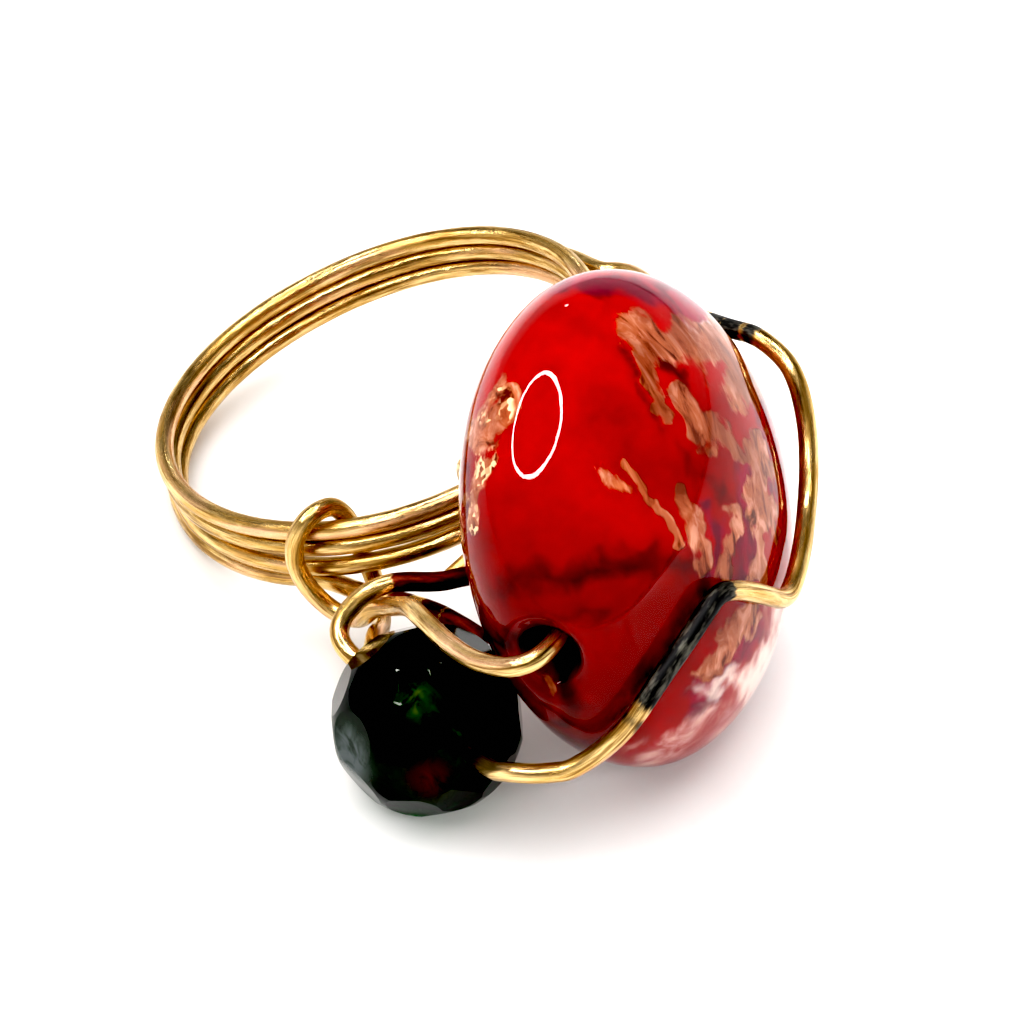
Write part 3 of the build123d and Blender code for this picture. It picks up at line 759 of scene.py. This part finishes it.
# After green and deep, its colours are painted light: a glow, a glint, a red reflection, a grey reflection
# at the edge and green light at the foot
facetLook = {"green": (0.003, 0.026, 0.008), "deep": (0.0005, 0.003, 0.0012), "glow": (0.030, 0.070, 0.024),
             "glint": (0.17, 0.21, 0.070), "redReflection": (0.072, 0.002, 0.002), "foot": (0.030, 0.13, 0.045),
             "edge": (0.17, 0.19, 0.19), "footHeight": (0.9, 1.8), "bending": 1.34, "wearDepth": 0.0025,
             "bevel": 0.012, "crease": 7.0, "ballSteps": 5, "cutError": 1e-4, "drillSides": 48,
             "drillLength": 1.4}
# Painted light: the glow and glint that it lets through, a red reflection of the glass bead and a grey one
# at the edge;
# where, in the photograph's pixels, and how many mm it reaches fully and at all
facetLights = {"glow": ((420, 701), 0.0, 2.1), "glint": ((420, 701), 0.0, 0.8),
               "redReflection": ((429, 780), 0.0, 1.9), "edge": ((347, 754), 0.6, 2.0)}


def onFacets(x, y):
    # A spot of the faceted bead's front, given by its place in the photograph
    start, look = cameraStand["place"], lookWay(x, y)
    near = start - facetMiddle
    along = look.dot(near)
    return start + look * (-along - sqrt(max(along ** 2 - near.dot(near) + facetBead["radius"] ** 2, 0)))


def darkGlass():
    # Pressed glass, so dark a green that only thin places and glints show it
    material, tree = startMaterial("darkGreenGlass")
    place = bodyPlace(tree)
    cords = cloud(scaledVector(place, (0.5, 0.5, 1.6)), 1.0, 3.0, 0.5, 1.0)
    worn = cloud(place, 3.2, 5.0, 0.65)
    colour = mixed(cords.step(0.35, 0.7), facetLook["deep"], facetLook["green"])
    glass = shaded(tree, {
        "Base Color": colour, "Roughness": 0.02 + 0.09 * worn.step(0.52, 0.75), "IOR": facetLook["bending"],
        "Transmission Weight": 1.0, "Normal": bumped(worn, facetLook["wearDepth"])})
    # Painted light laid over the glass, each part near its spot
    near = {name: nearTo(place, onFacets(*spot), inner, outer)
            for name, (spot, inner, outer) in facetLights.items()}
    drift = cloud(place, 0.9, 3.0, 0.6, 1.0)
    glow = near["glow"] * drift.step(0.20, 0.70)
    glint = near["glint"] * cloud(place, 1.4, 2.0, 0.5, 0.6).step(0.34, 0.60)
    # A painted dark red reflection of the glass bead, low on the front
    redReflection = near["redReflection"] * drift.step(0.10, 0.60)
    # A painted pale grey reflection at the lower left edge
    edge = near["edge"] * drift.step(0.10, 0.60)
    # Painted green light at the foot, low on the bead
    height = plug(tree, "ShaderNodeSeparateXYZ", None, {0: place}, 2)
    foot = (1 - height.step(*facetLook["footHeight"])) * drift.step(0.25, 0.60)
    light = mixed(glint, facetLook["glow"], facetLook["glint"])
    light = mixed(redReflection, light, facetLook["redReflection"])
    light = mixed(edge, light, facetLook["edge"])
    light = mixed(foot, light, facetLook["foot"])
    # The painted light, as a matte shader mixed over the glass
    inner = shaded(tree, {"Base Color": light, "Roughness": 0.5, "Specular IOR Level": 0.0})
    share = (0.8 * glow).most(redReflection).most(0.7 * edge).most(0.8 * foot)
    endMaterial(tree, plug(tree, "ShaderNodeMixShader", None, {0: share, 1: glass, 2: inner}))
    return material


def cutFacets():
    # A ball cut flat by planes, then laid in its place
    shape = bmesh.new()
    bmesh.ops.create_icosphere(shape, subdivisions=facetLook["ballSteps"], radius=facetBead["radius"])
    cuts = [(Vector((0, 0, side)), facetBead["length"] / 2) for side in (1, -1)]
    for latitude, count, turn, share in facetRows:
        for side in ((1,) if latitude == 0 else (1, -1)):
            for number in range(count):
                angle, tip = 2 * pi * (number + turn) / count, radians(side * latitude)
                cuts.append((Vector((cos(tip) * cos(angle), cos(tip) * sin(angle), sin(tip))),
                             share * facetBead["radius"]))
    for normal, far in cuts:
        whole = shape.verts[:] + shape.edges[:] + shape.faces[:]
        made = bmesh.ops.bisect_plane(shape, geom=whole, dist=facetLook["cutError"], plane_co=normal * far,
                                      plane_no=normal, clear_outer=True)
        edges = [item for item in made["geom_cut"] if isinstance(item, bmesh.types.BMEdge)]
        bmesh.ops.contextual_create(shape, geom=edges)
    bmesh.ops.recalc_face_normals(shape, faces=shape.faces[:])
    across = facetHole.cross(way(Vector((0, 0, 1)))).normalized()
    stand = Matrix((across, facetHole.cross(across), facetHole)).transposed()
    for corner in shape.verts:
        corner.co = (facetMiddle + stand @ corner.co) * mm
    return shape, stand


def modified(piece, kind, **settings):
    # The piece's mesh with one modifier worked in
    modifier = piece.modifiers.new(kind, kind)
    for name, value in settings.items():
        setattr(modifier, name, value)
    mesh = bpy.data.meshes.new_from_object(piece.evaluated_get(bpy.context.evaluated_depsgraph_get()))
    piece.modifiers.clear()
    piece.data = mesh


def facetPiece():
    shape, stand = cutFacets()
    piece = placed("facet_bead", meshOf(shape, "facet_bead"))
    piece.data.materials.append(darkGlass())
    modified(piece, "BEVEL", limit_method="ANGLE", angle_limit=radians(facetLook["crease"]), segments=1,
             width=facetLook["bevel"] * mm)
    shape = bmesh.new()
    bmesh.ops.create_cone(shape, cap_ends=True, segments=facetLook["drillSides"],
                          radius1=facetBead["hole"] * mm, radius2=facetBead["hole"] * mm,
                          depth=facetBead["length"] * facetLook["drillLength"] * mm,
                          matrix=Matrix.Translation(facetMiddle * mm) @ stand.to_4x4())
    drill = placed("drill", meshOf(shape, "drill"))
    modified(piece, "BOOLEAN", object=drill, operation="DIFFERENCE", solver="EXACT")
    bpy.data.objects.remove(drill)
    shape = bmesh.new()
    shape.from_mesh(piece.data)
    for face in shape.faces:
        face.smooth = True
    for edge in shape.edges:
        edge.smooth = edge.calc_face_angle(0) < radians(facetLook["crease"])
    shape.to_mesh(piece.data)
    shape.free()
    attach(piece, "root")
    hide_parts("crystal_bead")
    print("faceted bead has", len(piece.data.polygons), "faces")


facetPiece()


# Floor and light

studio = {"floorReach": 1.5, "floorLow": (0.745, 0.735, 0.73), "floorHigh": (0.775, 0.765, 0.76),
          "sky": 1.0, "horizon": (0.70, 0.69, 0.68), "ceiling": (0.06, 0.058, 0.055), "dusk": (0.05, 0.55),
          "contrast": "High Contrast", "exposure": 0.0, "black": 0.042, "aim": Vector((0, 0, 0.008)),
          "lampFar": 350, "lampGlow": 26, "lampTint": (1, 0.985, 0.97, 1)}
# The soft lights: their places and widths in metres, and their watts
softLights = {"overhead": ((-0.12, 0.10, 0.55), 1.30, 9.8), "front": ((0.10, -0.42, 0.30), 0.30, 0.8),
              "right": ((0.38, -0.16, 0.12), 0.24, 1.1)}
# What the photograph's bead reflects, in its pixels: a ring-shaped lamp and a small one
ringGlint = {"middle": (537, 427), "wide": 23.5, "high": 54, "lean": 12, "line": 2.8, "points": 24}
spotGlint = {"middle": (567, 304), "radius": 2.2}


def makeStage():
    material, tree = startMaterial("paleFloor")
    grain = cloud(bodyPlace(tree), 0.4, 3.0)
    tone = mixed(grain, studio["floorLow"], studio["floorHigh"])
    endMaterial(tree, shaded(tree, {"Base Color": tone, "Roughness": 0.6 + 0.05 * grain,
                                    "Specular IOR Level": 0.1}))
    wide = studio["floorReach"]
    corners = [(-wide, -wide, 0), (wide, -wide, 0), (wide, wide, 0), (-wide, wide, 0)]
    mesh = bpy.data.meshes.new("floor")
    mesh.from_pydata(corners, [], [(0, 1, 2, 3)])
    mesh.materials.append(material)
    floor = placed("floor", mesh)


def softLight(name, place, size, power):
    data = bpy.data.lights.new(name, "AREA")
    data.shape, data.size, data.energy = "DISK", size, power
    light = placed(name, data)
    light.visible_glossy = False
    light.location = place
    light.rotation_euler = (studio["aim"] - Vector(place)).to_track_quat("-Z", "Y").to_euler()


def mirrored(x, y):
    # Where a lamp hangs that the bead's outside shows at a spot of the photograph
    start, look = cameraStand["place"], lookWay(x, y)
    full, flat = glassBead["radius"], glassBead["half"]
    axes = ((glassOut, flat), (glassHole, full), (glassDown, full))
    near = [(start - glassMiddle).dot(axis) / size for axis, size in axes]
    move = [look.dot(axis) / size for axis, size in axes]
    a = sum(m * m for m in move)
    b = sum(m * n for m, n in zip(move, near))
    c = sum(n * n for n in near) - 1
    hit = start + look * ((-b - sqrt(max(b * b - a * c, 0))) / a)
    slopes = (axis * ((hit - glassMiddle).dot(axis) / size ** 2) for axis, size in axes)
    normal = sum(slopes, Vector()).normalized()
    return hit + look.reflect(normal) * studio["lampFar"]


def glowing(name, mesh):
    # A lamp that only shows in what reflects it
    material, tree = startMaterial(name)
    endMaterial(tree, plug(tree, "ShaderNodeEmission", None,
                           {"Color": studio["lampTint"], "Strength": studio["lampGlow"]}))
    mesh.materials.clear()
    mesh.materials.append(material)
    lamp = placed(name, mesh)
    lamp.visible_camera = lamp.visible_diffuse = lamp.visible_shadow = False


def hangLamps():
    (x, y), lean, count = ringGlint["middle"], radians(ringGlint["lean"]), ringGlint["points"]
    data = bpy.data.curves.new("ringLamp", "CURVE")
    data.dimensions = "3D"
    spline = data.splines.new("NURBS")
    spline.points.add(count - 1)
    spots = []
    for number, point in enumerate(spline.points):
        turn = 2 * pi * number / count
        across, up = ringGlint["wide"] * cos(turn), ringGlint["high"] * sin(turn)
        spots.append(mirrored(x + across * cos(lean) + up * sin(lean),
                              y + across * sin(lean) - up * cos(lean)))
        point.co = (*(spots[-1] * mm), 1)
    spline.use_cyclic_u = True
    high = (spots[count // 4] - spots[3 * count // 4]).length
    wide = (spots[0] - spots[count // 2]).length
    pixel = high / 2 / ringGlint["high"]                         # a pixel's size out where the lamps hang
    data.bevel_depth = pixel * ringGlint["line"] * mm
    curve = placed("ringLamp", data)
    bpy.context.view_layer.update()
    mesh = bpy.data.meshes.new_from_object(curve)
    bpy.data.objects.remove(curve)
    glowing("ring_lamp", mesh)
    shape = bmesh.new()
    bmesh.ops.create_icosphere(shape, subdivisions=2, radius=pixel * spotGlint["radius"] * mm,
                               matrix=Matrix.Translation(mirrored(*spotGlint["middle"]) * mm))
    glowing("spot_lamp_0", meshOf(shape, "spotLamp"))
    print("ring lamp", round(high), "by", round(wide), "mm")


def makeLights():
    world = bpy.data.worlds.new("studio")
    bpy.context.scene.world = world
    world.use_nodes = True
    tree = world.node_tree
    height = plug(tree, "ShaderNodeSeparateXYZ", None, {0: plug(tree, "ShaderNodeTexCoord")}, 2)
    tone = mixed(height.step(*studio["dusk"]), studio["horizon"], studio["ceiling"])
    tree.links.new(tone.socket, tree.nodes["Background"].inputs["Color"])
    tree.nodes["Background"].inputs["Strength"].default_value = studio["sky"]
    for name, (place, size, power) in softLights.items():
        softLight(name, place, size, power)
    view = bpy.context.scene.view_settings
    view.view_transform = "Standard"
    view.look = studio["contrast"]
    view.exposure = studio["exposure"]
    view.use_curve_mapping = True
    view.curve_mapping.black_level = (studio["black"],) * 3
    view.curve_mapping.update()


makeStage()
hangLamps()
makeLights()
print("lit")
